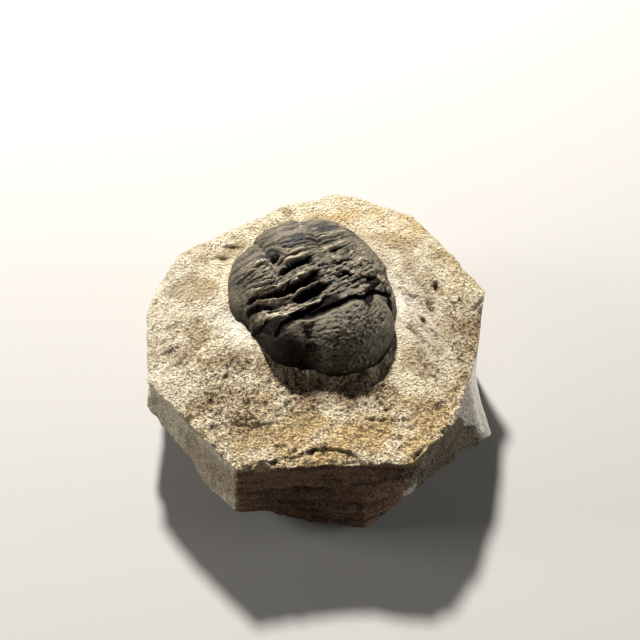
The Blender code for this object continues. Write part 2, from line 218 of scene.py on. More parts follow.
# Camera, floor and lights. A light is its name, place, aim, size, power and colour, in metres and watts.
ELEVATION = np.radians(54.0)
VIEW_WIDTH = 149.7
LENS = 70.0
SENSOR = 36.0
TARGET = np.array([-0.2, 0.64, 26.0])
FLOOR_HALF = 3.0
ROOM_STRENGTH = 0.035
LIGHTS = (
    ("key", (-0.09, 0.44, 0.50), (0.0, 0.0, 0.02), 0.07, 14.6, (1.0, 0.96, 0.90)),
    ("left_key", (-0.54, 0.02, 0.22), (0.0, 0.0, 0.02), 0.20, 2.1, (1.0, 0.97, 0.92)),
    ("side_fill", (0.52, 0.0, 0.09), (0.0, 0.0, 0.01), 0.25, 1.7, (1.0, 0.98, 0.95)),
    ("front_fill", (-0.10, -0.60, 0.35), (0.0, 0.0, 0.02), 0.25, 0.25, (1.0, 0.98, 0.95)),
)


def ramp(low, high, x):
    """Smooth step: s = (x - low) / (high - low) held between 0 and 1, then s * s * (3 - 2 * s)."""
    share = np.clip((x - low) / (high - low), 0.0, 1.0)
    return share * share * (3.0 - 2.0 * share)


def hump(x, middle, half):
    """Bell curve exp(-((x - middle) / half) ** 2)."""
    return np.exp(-(((x - middle) / half) ** 2))


def plateau(x, middle, half):
    """Flat-topped bell exp(-((x - middle) / half) ** 4)."""
    return np.exp(-(((x - middle) / half) ** 4))


def valley(x, middle, half):
    """Bell exp(-|(x - middle) / half| ** 3.5), between round and flat-bottomed."""
    return np.exp(-(np.abs((x - middle) / half) ** 3.5))


def span(x, low, high, fade):
    """1 between low and high, fading to 0 over this distance outside them."""
    return ramp(low - fade, low, x) * ramp(high + fade, high, x)


def joined(a, b, blend):
    """The greater of two distances, rounded off where they cross: with s = 0.5 + 0.5 * (a - b) / blend
    held between 0 and 1, it is b + (a - b) * s + blend * s * (1 - s)."""
    share = np.clip(0.5 + 0.5 * (a - b) / blend, 0.0, 1.0)
    return b + (a - b) * share + blend * share * (1.0 - share)


def ripple(x, y, length, turn):
    """Mean of three crossing sine waves of about this length."""
    total = 0.0
    for more, pace, phase in ((0.0, 6.28, 0.0), (1.9, 4.7, 1.3), (4.0, 8.1, 2.6)):
        way = x * np.cos(turn + more) + y * np.sin(turn + more)
        total = total + np.sin(way * pace / length + phase)
    return total / 3.0


def chance(cell, seed):
    """A number from 0 to 1 for each whole-numbered cell, mixed from its three indices by multiplying
    and shifting, so that it is the same on every run."""
    mixed = cell[..., 0] * 73856093 ^ cell[..., 1] * 19349663 ^ cell[..., 2] * 83492791 ^ seed * 2654435
    mixed = ((mixed ^ (mixed >> 13)) * 1274126177) & 0x7FFFFFFF
    mixed = ((mixed ^ (mixed >> 15)) * 668265263) & 0x7FFFFFFF
    return ((mixed ^ (mixed >> 16)) & 0xFFFFF) / 0xFFFFF


def lumps(points, size, seed):
    """Noise from -1 to 1: a chance height at each corner of a lattice of this size, blended between
    the eight corners along S curves."""
    place = points / size
    cell = np.floor(place).astype(np.int64)
    part = place - cell
    part = part * part * (3.0 - 2.0 * part)
    total = 0.0
    for corner in np.ndindex(2, 2, 2):
        weight = np.prod(np.where(corner, part, 1.0 - part), axis=-1)
        total = total + weight * chance(cell + np.array(corner), seed)
    return 2.0 * total - 1.0


def rough(points, size, seed, layers=3):
    """Sum of noises, each half the size and 0.55 of the height of the one before it."""
    total = 0.0
    height = 1.0
    for layer in range(layers):
        total = total + height * lumps(points, size / 2**layer, seed + layer)
        height *= 0.55
    return total


def nearest_grain(points, spacing, seed):
    """Distance, in spacings, to the nearest of a cloud of points: one in each cell of a lattice, at a
    chance place in its cell, looked for in the 27 cells around."""
    place = points / spacing
    cell = np.floor(place).astype(np.int64)
    square = np.full(place.shape[:-1], 9.0)
    for step in np.ndindex(3, 3, 3):
        near = cell + np.array(step) - 1
        inside = np.stack([chance(near, seed + axis) for axis in range(3)], axis=-1)
        square = np.minimum(square, ((place - near - inside) ** 2).sum(axis=-1))
    return np.sqrt(square)


# The fossil's form.


def roll_reach(angle):
    """Distance from the roll axis to the back: (|cos / along| ** n + |sin / over| ** n) ** (-1 / n)."""
    forward = np.cos(angle)
    upward = np.sin(angle)
    along = np.where(forward > 0.0, REACH_FRONT, REACH_BACK)
    over = np.where(upward > 0.0, REACH_UP, REACH_DOWN)
    return (np.abs(forward / along) ** ROUNDNESS + np.abs(upward / over) ** ROUNDNESS) ** (-1.0 / ROUNDNESS)


def side_fall(across):
    """Share of the height left towards the side: (1 - |across| ** 2.7) ** (1 / 2.2)."""
    return (1.0 - np.clip(np.abs(across), 0.0, 1.0) ** SIDE_FULLNESS) ** (1.0 / ROUNDNESS)


def swelling(angle, across, form):
    """Distance from the roll axis to the far side of an ellipsoid, the greater root of a quadratic along
    the ray, or 0 where the ray misses it."""
    middle, offset, depth, (out, wide, long) = form
    turn = angle - np.radians(middle)
    side = (across * HALF_WIDTH - offset) / wide
    square = (np.cos(turn) / out) ** 2 + (np.sin(turn) / long) ** 2
    linear = -2.0 * np.cos(turn) * depth / out**2
    inside = linear**2 - 4.0 * square * ((depth / out) ** 2 + side**2 - 1.0)
    far_side = (-linear + np.sqrt(np.maximum(inside, 0.0))) / (2.0 * square)
    return np.where(inside > 0.0, np.maximum(far_side, 0.0), 0.0)


def from_axis_of(degrees, across):
    """Distance across from the middle of the raised axis, as a share of the half width. The axis drifts to
    the far side towards the tail."""
    return across - 0.10 + 0.17 * ramp(95.0, 150.0, degrees)


def half_axis_of(degrees):
    """Half width of the raised axis as a share of the half width, a little less towards the tail."""
    return 0.35 - 0.05 * ramp(110.0, 170.0, degrees)


def out_of_bed(degrees):
    """1 on the back, fading to 0 below the level of the slab in front and behind."""
    return ramp(-25.0, 5.0, degrees) * ramp(205.0, 180.0, degrees)


def plain_back(angle, across):
    """The back without its hollows, before it is narrowed to the sides: the rolled oval, plus the axis as
    lift * sqrt(1 - (from_axis / half_axis) ** 2), plus a swell on the far side, less a drop to the head
    and a dip beside the tail."""
    degrees = np.degrees(angle)
    above = out_of_bed(degrees)
    from_axis = from_axis_of(degrees, across)
    half_axis = half_axis_of(degrees)
    lobe = np.sqrt(np.clip(1.0 - (from_axis / half_axis) ** 2, 0.0, 1.0))
    lift = AXIS_LIFT * (0.6 + 0.4 * ramp(95.0, 140.0, degrees)) * ramp(48.0, 54.0, degrees)
    reach = roll_reach(angle) + lift * lobe * above
    reach = reach + hump(from_axis, -0.75, 0.3) * ramp(95.0, 130.0, degrees) * above
    head_drop = 0.8 + 1.2 * ramp(0.0, 0.6, np.abs(from_axis))
    fade = 3.0 + 9.0 * ramp(0.4, 0.8, np.abs(across))
    reach = reach - head_drop * ramp(53.0 + fade, 53.0 - fade, degrees) * above
    return reach - 1.1 * ramp(125.0, 142.0, degrees) * ramp(-0.38, -0.22, across) * above


def fossil_reach(angle, across, cut):
    """Distance from the roll axis to the fossil's skin: the back less the cut, times the side's fall,
    with the cheeks, the glabella and the near eye joined on."""
    degrees = np.degrees(angle)
    above = out_of_bed(degrees)
    narrowing = 1.0 - 0.05 * ramp(60.0, 40.0, degrees) * above
    edge = 0.55 * side_fall(across) * ramp(0.8, 1.0, np.abs(across))
    reach = (plain_back(angle, across) - cut) * np.maximum(side_fall(across / narrowing), edge)
    reach = joined(reach, swelling(angle, across, CHEEKS) * ramp(62.0, 50.0, degrees), 1.5)
    reach = joined(reach, swelling(angle, across, GLABELLA), 0.35)
    reach = joined(reach, swelling(angle, across, NEAR_EYE), 1.3)
    return reach * (np.abs(across) < 1.0)


def swept_angle(rib, across):
    """Angle at which the line of a rib passes a point across the body. From the axis outwards it turns
    back by sweep * bend: sweep = 28 * (1 - exp((54 - rib) / 12)) degrees, fading out over the tail, and
    bend = ((|across| - 0.4) / 0.45) ** 2, on the far side half of that."""
    sweep = 28.0 * (1.0 - np.exp(np.minimum(54.0 - rib, 0.0) / 12.0)) * ramp(215.0, 130.0, rib)
    bend = (np.clip(np.abs(across) - 0.4, 0.0, 0.5) / 0.45) ** 2
    return np.radians(rib + sweep * bend * np.where(across > 0.0, 1.0, 0.5))


def crease_line(across):
    """Angle of the crease behind the head, in degrees: it bends forward at both sides."""
    near = 6.0 * ramp(0.70, 0.85, across)
    far = 5.0 * ramp(-0.1, -0.4, across) + 14.0 * ramp(-0.45, -0.75, across)
    return 50.0 + 3.5 * ramp(0.40, 0.55, across) - near - far


def place_on_roll(angle, across, reach):
    """Roll centre + sideways * near side + reach * (cos * forward + sin * upward). Sideways is across *
    half width, less 0.9 towards the far side and, towards the near side, a length read off between
    NEAR_LESS angles."""
    outward = np.cos(angle)[..., None] * FORWARD + np.sin(angle)[..., None] * UPWARD
    near_less = np.interp(np.degrees(angle), *NEAR_LESS)
    sideways = across * HALF_WIDTH - near_less * ramp(0.5, 1.0, across) - 0.9 * ramp(-0.4, -1.0, across)
    return ROLL_CENTRE + sideways[..., None] * NEAR_SIDE + reach[..., None] * outward


def along_ribs(table, rib, across, ends, bell):
    """Sum over a table of depth * exp(-((ends - place) / long) ** 4) * bell(rib, line, half), where the
    line is middle + turn * (across - place) / long."""
    total = 0.0
    for middle, place, long, half, turn, deep in table:
        line = middle + turn * (across - place) / long
        total = total + deep * plateau(ends, place, long) * bell(rib, line, half)
    return total


def head_relief(degrees, across, smooth, on_glabella, change):
    """Relief of the swollen middle of the head, and how much of a grain's top each place is, which is
    painted lighter as glints. Grains are domes 1 - (d / 0.52) ** 2 of the distance d to the nearest of
    a cloud of points, low on the head. Above them lie thin raised threads and sunk folds, where a noise
    crosses zero."""
    dome = np.clip(1.0 - (nearest_grain(smooth, 0.85, 21) / 0.52) ** 2, 0.0, 1.0)
    on_head = np.stack([degrees * 0.50, across * HALF_WIDTH * 0.55, np.full_like(degrees, 0.5)], axis=-1)
    folds = ramp(0.74, 1.0, 1.0 - np.abs(rough(on_head, 1.1, 35, 2)))
    threads = ramp(0.80, 1.0, 1.0 - np.abs(rough(on_head, 0.9, 39, 2)))
    grained = on_glabella * ramp(46.0, 28.0, degrees) * (0.6 + 0.4 * change)
    relief = 0.34 * (dome - 0.35) * grained
    relief = relief + (0.20 * threads - 0.26 * folds) * on_glabella * ramp(8.0, 30.0, degrees)
    return relief, ramp(0.45, 0.95, dome) * grained


def back_relief(relief, rib, across, smooth, fibres, behind_head):
    """The head's relief with that of the back added: threads along the ribs that give way to fine arcs
    over the tail, grains, creases where a noise crosses zero, and two double lines along the axis."""
    inside = ramp(0.95, 0.6, np.abs(across))
    lined = ramp(88.0, 102.0, rib)
    tail = ramp(104.0, 122.0, rib)
    arcs = rough(fibres * np.array([1.0, 0.35, 1.0]), 0.55, 43, 2)
    threads = (rough(fibres, 0.6, 41, 2) * (1.0 - lined) + 1.3 * arcs * lined) * inside
    grains = rough(smooth, 0.75, 57, 3)
    relief = relief + behind_head * ((0.30 + 0.12 * tail) * threads + (0.28 - 0.20 * lined) * grains)

    lines = ramp(0.78, 1.0, 1.0 - np.abs(lumps(fibres * np.array([1.0, 0.6, 1.0]), 1.2, 37)))
    creased = lines * inside * (0.35 + 0.65 * ramp(-0.5, 0.0, across))
    wrinkle = ramp(0.8, 1.0, 1.0 - np.abs(rough(smooth * np.array([1.0, 1.0, 1.6]), 2.0, 31)))
    relief = relief - behind_head * (0.36 * creased + 0.14 * wrinkle * (1.0 - tail))
    relief = relief + (1.0 - behind_head) * (0.10 * grains - 0.12 * wrinkle)
    double_line = hump(np.abs(across - 0.39), 0.028, 0.011) * span(rib, 99.0, 127.0, 3.0)
    double_line = double_line + 0.7 * hump(across + 0.31, 0.0, 0.012) * span(rib, 95.0, 116.0, 3.0)
    return relief + 0.32 * double_line + 0.09 * rough(smooth, 1.7, 51)


def fossil_skin():
    """Points of the fossil on a grid of rib lines and columns across, and three values at each: how
    deep it lies in a hollow, which is painted near-black as shade; how much it stands out, which
    paints worn places and glints lighter and low places darker as shade; and where shade is painted on
    the faces turned from the light. The reach has the hollows cut into the back along the ribs, the
    crease behind the head, then the fine relief."""
    share = np.linspace(0.0, 1.0, FOSSIL_RIBS, endpoint=False)
    rib = np.interp(share, (0.0, 0.34, 0.74, 0.93, 1.0), (-22.0, 48.0, 122.0, 190.0, 338.0))
    columns = np.sin(np.linspace(-0.5 * np.pi, 0.5 * np.pi, FOSSIL_COLUMNS))
    rib, across = (array.copy() for array in np.broadcast_arrays(rib[:, None], columns[None, :]))
    angle = swept_angle(rib, across)
    degrees = np.degrees(angle)
    smooth = place_on_roll(angle, across, fossil_reach(angle, across, 0.0))
    change = rough(smooth, 3.0, 11)
    tail_bend = 16.0 * across + 90.0 * np.clip(across - 0.12, 0.0, 0.25)
    bent = rib - tail_bend * ramp(106.0, 120.0, rib)
    fibres = np.stack([bent * 0.27, across * HALF_WIDTH * 0.30, np.zeros_like(rib)], axis=-1)

    ragged = rib + 1.1 * rough(smooth, 2.2, 5)
    ragged = ragged + 1.3 * rough(fibres, 1.1, 15) + 0.9 * rough(smooth, 0.8, 19, 2)
    ends = across + 0.02 * rough(smooth, 1.6, 17)
    cut = along_ribs(HOLES, ragged, across, ends, valley) * (1.0 + 0.4 * change)
    hollow = np.clip(cut / 2.2, 0.0, 1.0)
    crest = along_ribs(RIDGES, ragged, across, ends, hump)
    crest = crest * (1.0 + 0.7 * rough(fibres, 0.9, 25)) * (1.0 - hollow)
    furrow = 0.35 * hump(np.abs(from_axis_of(degrees, across)), half_axis_of(degrees), 0.04)
    cut = (cut + furrow - crest) * ramp(-25.0, 5.0, degrees)

    crease = valley(degrees + 0.8 * change, crease_line(across), 1.9)
    crease = crease * ramp(0.93, 0.75, across) * ramp(-0.95, -0.85, across)
    reach = fossil_reach(angle, across, cut)
    reach = reach - 1.9 * crease * ramp(-25.0, 5.0, degrees)

    on_glabella = ramp(0.0, 1.2, reach - plain_back(angle, across) * side_fall(across))
    on_glabella = on_glabella * span(across, -0.42, 0.52, 0.12) * ramp(52.0, 44.0, degrees)
    behind_head = ramp(-3.0, 2.0, degrees - crease_line(across)) * ramp(205.0, 180.0, degrees)
    fine, painted_glints = head_relief(degrees, across, smooth, on_glabella, change)
    fine = back_relief(fine, rib, across, smooth, fibres, behind_head)
    above = ramp(-25.0, 0.0, degrees) * ramp(205.0, 180.0, degrees)
    reach = np.where(np.abs(across) < 1.0, reach + (fine - 0.25 - 0.3 * on_glabella) * above, 0.0)
    reach = np.minimum(reach, TALLEST / np.maximum(np.sin(angle), 0.1))

    # Painted shade: the crease adds to the near-black of the hollows.
    hollow = np.clip(hollow + 0.6 * crease, 0.0, 1.0)
    # Proud paints worn ridges lighter, the grain tops lighter as painted glints, and the low places darker
    # as painted shade.
    proud = 0.35 + 1.2 * fine + 0.8 * crest + 0.45 * painted_glints - 0.22 * ramp(104.0, 122.0, rib)
    proud = np.clip(proud, 0.0, 1.0)
    proud = proud + 0.45 * (0.16 - proud) * ramp(130.0, 150.0, degrees)
    # Painted shade: the head's front, the near flank and edge and the eye's lower wall face away from the
    # light and are painted black.
    painted_shade = ramp(24.0, 2.0, degrees) + ramp(0.45, 0.75, across) * ramp(58.0, 44.0, degrees)
    painted_shade = painted_shade + 0.7 * ramp(0.86, 0.97, across)
    painted_shade = np.clip(painted_shade + 0.9 * hump(degrees, 30.0, 9.0) * hump(across, 0.78, 0.16), 0.0, 1.0)
    return place_on_roll(angle, across, reach), hollow, proud, painted_shade


def contact_outline():
    """The fossil's outline at the slab's top, as directions and distances from the roll centre: on each
    column, the first angle from the front and from behind at which the plain form rises past the top."""
    up = np.radians(np.linspace(0.0, 90.0, 361))
    across = np.linspace(-0.995, 0.995, 241)
    front_angle, side = np.meshgrid(up, across, indexing="ij")
    outline = []
    for angle in (front_angle, np.pi - front_angle):
        reach = fossil_reach(angle, side, 0.0)
        first = np.argmax(reach * np.sin(angle) > SLAB_TOP - ROLL_CENTRE[2], axis=0)
        column = np.arange(len(across))
        points = place_on_roll(angle[first, column], across, reach[first, column])
        outline.append(points[first > 0])
    flat = np.concatenate(outline)[:, :2] - ROLL_CENTRE[:2]
    direction = np.arctan2(flat[:, 1], flat[:, 0])
    order = np.argsort(direction)
    return direction[order], np.hypot(flat[:, 0], flat[:, 1])[order]


# The slab's form.


def outline_reach(turn, corners):
    """Distance and height of an outline in each direction from the slab's centre, along straight edges
    between its corners: the nearest crossing of the direction with any edge."""
    start = np.array([(*corner, 0.0)[:3] for corner in corners])
    start[:, :2] -= SLAB_CENTRE
    edge = np.roll(start, -1, axis=0) - start
    ray_x = np.cos(turn)[:, None]
    ray_y = np.sin(turn)[:, None]
    slant = ray_x * edge[:, 1] - ray_y * edge[:, 0]
    slant = np.where(np.abs(slant) < 1e-9, 1e-9, slant)
    distance = (start[:, 0] * edge[:, 1] - start[:, 1] * edge[:, 0]) / slant
    along = (start[:, 0] * ray_y - start[:, 1] * ray_x) / slant
    meets = (along > -1e-6) & (along < 1.0 + 1e-6) & (distance > 0.0)
    chosen = np.argmin(np.where(meets, distance, np.inf), axis=1)
    row = np.arange(len(turn))
    return distance[row, chosen], start[chosen, 2] + along[row, chosen] * edge[chosen, 2]


def around_centre(reach, turn, height):
    """Points at these distances and directions from the slab's centre, and at this height."""
    x = SLAB_CENTRE[0] + reach * np.cos(turn)
    y = SLAB_CENTRE[1] + reach * np.sin(turn)
    return np.stack(np.broadcast_arrays(x, y, height), axis=-1)


def top_height(x, y):
    """Height of the slab's top: slow swells, a chipped bevel at the right-hand corner and a low ledge
    along the front."""
    height = SLAB_TOP + 0.55 * ripple(x, y, 34.0, 0.4) + 0.3 * ripple(x, y, 15.0, 2.1)
    right_chip = ramp(31.0, 41.0, x + 0.12 * y) * ramp(11.5, 1.5, y) * ramp(-16.0, -5.0, y)
    front_ledge = ramp(0.2, -0.4, y - np.interp(x, *FRONT_LINE))
    return height - 1.9 * right_chip - 0.7 * front_ledge


def spots(x, y, table):
    """Sum over a table of strength * exp(-(a / long) ** 2 - (b / wide) ** 2), with a and b along the
    turned axes of each spot."""
    total = 0.0
    for middle, long, wide, turn, strength in table:
        dx = x - middle[0]
        dy = y - middle[1]
        a = dx * np.cos(turn) + dy * np.sin(turn)
        b = dy * np.cos(turn) - dx * np.sin(turn)
        total = total + strength * np.exp(-((a / long) ** 2) - (b / wide) ** 2)
    return total


def gap_to_fossil(x, y):
    """How far a place on the top lies outside the fossil's outline, along the line from the roll centre."""
    direction, distance = contact_outline()
    off_x = x - ROLL_CENTRE[0]
    off_y = y - ROLL_CENTRE[1]
    outline = np.interp(np.arctan2(off_y, off_x), direction, distance, period=2.0 * np.pi)
    return np.hypot(off_x, off_y) - outline


def top_grain(x, y, flat):
    """Grain of the top: noise and slanting strokes, coarser at the front and right, with a slow noise
    under them."""
    strokes = np.stack([(x + y) * 0.32, (y - x) * 0.71, np.full_like(x, 3.0)], axis=-1)
    coarse = np.clip(0.35 + 1.1 * ramp(6.0, -18.0, y + 0.4 * x) + 0.6 * ramp(22.0, 32.0, x), 0.0, 1.4)
    coarse = coarse * (1.0 + 0.5 * rough(flat, 5.0, 63, 2))
    grain = coarse * np.maximum(0.22 * rough(flat, 1.1, 61, 2) + 0.40 * rough(strokes, 1.3, 65, 2), -0.32)
    return grain + 0.42 * rough(flat, 5.0, 71)


def ochre_and_brown(x, y, flat):
    """Shares of ochre and brown on the top. Ochre lies along the front, the right and the back, and brown
    on spots and on the chipped corner. The strongest brown spot is painted shadow under the head."""
    ochre = ramp(-8.0, -34.0, y + 5.0 * lumps(flat, 9.0, 101)) * ramp(-30.0, 0.0, x)
    ochre = ochre + ramp(24.0, 36.0, x + 5.0 * lumps(flat, 8.0, 103)) * 0.35
    ochre = ochre + 0.7 * ramp(22.0, 34.0, y + 3.0 * lumps(flat, 6.0, 104)) * ramp(-5.0, 8.0, x)
    chip = ramp(30.5, 33.0, x + 0.12 * y + 1.5 * lumps(flat, 3.0, 106))
    chip = chip * ramp(12.0, 8.0, y) * ramp(-18.0, -8.0, y)
    return ochre, spots(x, y, BROWN_AND_SHADOW_PLACES) + 0.55 * chip


def slab_top(x, y, rim_share):
    """Height of the slab's top, and its stains. The height is the swells and the grain, which is worn
    away on the scraped places, less chips, flakes, pits, gouges and cracks, with a small step, the rim
    worn down and the fossil's bed sunk inside its outline."""
    flat = np.stack([x, y, np.full_like(x, 7.0)], axis=-1)
    gap = gap_to_fossil(x, y)
    scraped = spots(x, y, SCRAPED) + 0.3 * hump(gap, 0.6, 1.4) * ramp(-12.0, 2.0, y) * ramp(0.0, 9.0, x)
    scraped = np.clip(scraped, 0.0, 1.0)
    chips = 0.22 * ramp(0.2, 0.6, rough(flat, 4.5, 81))
    streaks = np.stack([(x - 1.35 * y) * 0.15, (1.35 * x + y) * 0.42, np.full_like(x, 5.0)], axis=-1)
    flake = ramp(0.15, 0.5, rough(streaks, 1.0, 83, 2)) * spots(x, y, FLAKED)
    grain = top_grain(x, y, flat)
    height = top_height(x, y) + grain * (1.0 - 0.65 * scraped) - chips * (1.0 - scraped) - 0.6 * flake

    pit = spots(x, y, PITS)
    gouge = spots(x, y, GOUGES)
    crack = plateau(y + 24.4 - 0.0144 * (x - 16.0) ** 2, 0.0, 0.45) * span(x, 12.5, 20.5, 1.5)
    front_crack = hump(y + 0.25 * rough(flat, 1.5, 93, 2) - np.interp(x, *FRONT_LINE), 0.0, 0.22)
    front_crack = front_crack * span(x, -13.0, 9.0, 2.0)
    height = height - np.clip(1.5 * pit + 0.8 * gouge + 0.4 * crack + 0.55 * front_crack, 0.0, 1.5)
    step = ramp(-23.0, -22.4, y - 0.15 * x + 0.8 * lumps(flat, 4.0, 91)) * span(x, -19.0, -8.0, 3.0)
    height = height + 0.5 * step * ramp(-12.0, -20.0, y)
    worn = (0.35 + 0.7 * np.maximum(rough(flat, 3.0, 95, 2), 0.0)) * ramp(0.972, 1.0, rim_share)
    height = height - worn - BED_DEPTH * ramp(-0.4, -1.0, gap)

    ochre, brown = ochre_and_brown(x, y, flat)
    brown = brown + 0.5 * flake + 0.8 * np.clip(pit + 0.5 * gouge + front_crack, 0.0, 1.0)
    # Painted shadow: the head's shadow on the top, painted near-black.
    dark = spots(x, y, PAINTED_SHADOW_PLACES) * (0.75 + 0.6 * rough(flat, 2.0, 107, 2))
    stains = {
        "ochre": ochre,
        "brown": brown,
        "pale": scraped + 0.5 * ramp(-25.0, -36.0, x) - pit,
        "seam_pit_and_shadow": dark + 0.5 * np.clip(pit, 0.0, 1.0),
        "grainy": 0.30 + 0.45 * ramp(8.0, -16.0, y + 0.4 * x) + 0.3 * ramp(22.0, 32.0, x),
    }
    return height, {name: np.clip(share, 0.0, 1.0) for name, share in stains.items()}


def side_relief(wall, degrees, fall, faces):
    """How far the side stands out from its straight fall, and the seams of the front's bedding. The front
    has layers that run level, the broken face is torn, the left face is hollow, and the rest is rough."""
    height = wall[..., 2]
    warp = height + 0.5 * lumps(wall, 9.0, 141)
    layers = lumps(np.stack([warp * 0.9, 0.03 * degrees, np.zeros_like(warp)], axis=-1), 1.0, 151)
    layers = 0.45 * layers + 0.25 * np.sin(warp * 2.6)
    thin = np.stack([warp * 2.1, 0.09 * degrees, np.full_like(warp, 4.0)], axis=-1)
    seams = ramp(0.15, -0.55, rough(thin, 1.0, 155, 2)) + 0.5 * ramp(0.0, -0.6, layers)
    uneven = 0.7 * np.sin(height * 1.15 + 0.6 * np.sin(degrees * 0.11))
    stand = faces["front"] * (layers + uneven + 0.25 * rough(wall, 1.6, 161) - 0.35 * seams)
    stand = stand + faces["broken"] * (1.3 * rough(wall, 6.0, 171, 4) - 0.3)
    sawn = 0.10 * rough(wall, 2.0, 181) + 0.38 * faces["left"] * rough(wall, 1.5, 183)
    sawn = sawn + 0.25 * ripple(degrees * 0.7, height, 20.0, 1.5)
    stand = stand + (1.0 - np.clip(faces["front"] + faces["broken"], 0.0, 1.0)) * sawn
    stand = stand - 0.8 * faces["left"] + faces["far"] * (0.45 * rough(wall, 3.0, 187) - 0.2)
    return np.minimum(stand, 1.2) * np.sin(np.pi * np.clip(fall, 0.02, 0.98)), seams


def slab_side(turn, rim, rim_chips, lower, rim_height, lower_height):
    """Points down the slab's side, and its stains. Each spoke falls straight from the rim to the lower
    edge, with the rim's chips filled in below it on the far side, and the relief of its face added."""
    fall = np.linspace(0.0, 1.0, SIDE_ROWS + 1)[1:, None]
    height = rim_height + fall * (lower_height - rim_height)
    degrees = np.broadcast_to(np.degrees(turn), height.shape)
    far_side = span(degrees, *FAR_SIDE, 10.0)
    reach = rim + fall * (lower - rim) + far_side * (rim_chips - 0.3) * ramp(0.0, 0.3, fall)
    wall = np.stack([reach * np.cos(turn), reach * np.sin(turn), height], axis=-1)
    torn = (degrees - 319.0) / 17.0 + 0.22 * rough(wall, 3.5, 145)
    white = span(degrees, *WHITE_FACE, 2.0) * ramp(0.04, -0.04, fall - torn)
    white = np.clip(white + hump(degrees, 302.0, 2.2) * hump(fall, 0.93, 0.07) * 1.6, 0.0, 1.0)
    faces = {
        "far": far_side,
        "left": span(degrees, *LEFT_FACE, 3.0),
        "front": span(degrees, *FRONT_FACE, 2.0),
        "broken": span(degrees, *BROKEN_FACE, 2.0) * (1.0 - white),
    }
    stand, seams = side_relief(wall, degrees, fall, faces)
    right = ramp(333.0, 336.0, degrees) + ramp(14.0, 9.0, degrees)
    stains = {
        "pale": np.clip(right + 0.45 * faces["left"], 0.0, 1.0),
        "white": white,
        "seam_pit_and_shadow": faces["front"] * np.clip(seams, 0.0, 1.0),
        "bedded": faces["front"],
        "broken": faces["broken"],
        "grainy": 0.6,
    }
    return around_centre(reach + stand, turn, height), stains


def slab_skin():
    """Points of the slab on a grid of rings and spokes, and the stains at each. Rings run out over the
    top to the rim, down the side, under the lower edge and in across the base."""
    turn = np.linspace(0.0, 2.0 * np.pi, SLAB_SPOKES, endpoint=False)
    degrees = np.degrees(turn)
    edge_place = np.stack([35.0 * np.cos(turn), 35.0 * np.sin(turn), np.zeros_like(turn)], axis=-1)
    sawn_rim = ramp(95.0, 80.0, degrees) + ramp(330.0, 340.0, degrees)
    rim_chips = 0.45 * (1.0 - 0.65 * sawn_rim) * np.abs(rough(edge_place, 4.0, 111, 4))
    rim = outline_reach(turn, RIM)[0] - rim_chips
    lower, lower_height = outline_reach(turn, LOWER_EDGE)
    lower = lower - 0.7 * np.abs(rough(edge_place, 5.0, 121, 4))
    lower_height = lower_height + 0.8 * rough(edge_place, 3.5, 131, 3)
    base = outline_reach(turn, BASE_EDGE)[0]

    share = np.interp(np.linspace(0.0, 1.0, TOP_ROWS), (0.0, 0.08, 1.0), (0.0, 0.25, 1.0))[:, None]
    flat = around_centre(share * rim, turn, 0.0)
    height, on_top = slab_top(flat[..., 0], flat[..., 1], np.broadcast_to(share, flat.shape[:2]))
    top = around_centre(share * rim, turn, height)
    side, on_side = slab_side(turn, rim, rim_chips, lower, height[-1], lower_height)

    inward = np.linspace(0.0, 1.0, UNDER_ROWS + 1)[1:, None]
    under_height = lower_height * (1.0 - inward) * (1.0 + 0.12 * rough(side[-1:], 4.0, 191))
    under = around_centre(lower + inward * (base - lower), turn, np.maximum(under_height, 0.0))
    middle = np.linspace(1.0, 0.0, BASE_ROWS + 1)[1:, None]
    bottom = around_centre(middle * base, turn, 0.0)

    stains = {}
    for name in STAINS:
        bands = (
            (on_top.get(name, 0.0), TOP_ROWS),
            (on_side.get(name, 0.0), SIDE_ROWS),
            (UNDER_STAINS.get(name, 0.0), UNDER_ROWS + BASE_ROWS),
        )
        stains[name] = np.concatenate([np.broadcast_to(part, (rows, SLAB_SPOKES)) for part, rows in bands])
    return np.concatenate([top, side, under, bottom]), stains


# Meshes and materials.


def grid_mesh(name, points, values):
    """Mesh of a grid whose second direction closes on itself: quads between neighbours, and at each end
    row, a fan to one point in its middle. Values become point attributes."""
    rows, columns = points.shape[:2]
    index = np.arange(rows * columns).reshape(rows, columns)
    a = index[:-1]
    b = np.roll(a, -1, axis=1)
    c = np.roll(index[1:], -1, axis=1)
    d = index[1:]
    faces = np.stack([a, d, c, b], axis=-1).reshape(-1, 4).tolist()
    first = rows * columns
    last = first + 1
    faces += np.stack([np.full(columns, first), index[0], np.roll(index[0], -1)], axis=-1).tolist()
    faces += np.stack([np.full(columns, last), np.roll(index[-1], -1), index[-1]], axis=-1).tolist()
    ends = np.stack([points[0].mean(axis=0), points[-1].mean(axis=0)])
    vertices = np.concatenate([points.reshape(-1, 3), ends])
    mesh = bpy.data.meshes.new(name)
    mesh.from_pydata(((vertices + PLACE) * MM).tolist(), [], faces)
    for key, value in values.items():
        value = np.concatenate([value.reshape(-1), [value[0, 0], value[-1, -1]]])
        mesh.attributes.new(key, "FLOAT", "POINT").data.foreach_set("value", value.astype(np.float32))
    mesh.shade_smooth()
    mesh.update()
    item = bpy.data.objects.new(name, mesh)
    bpy.context.scene.collection.objects.link(item)
    return item


def make_fossil():
    """The fossil's surface. Its outer columns shrink to a point, so the grid is turned to have them as
    rows, and they are left out for fans to close it."""
    points, *stains = fossil_skin()
    values = {name: value.T[1:-1] for name, value in zip(("hollow", "proud", "painted_shade"), stains)}
    return grid_mesh("trilobite_skin", np.swapaxes(points, 0, 1)[1:-1], values)


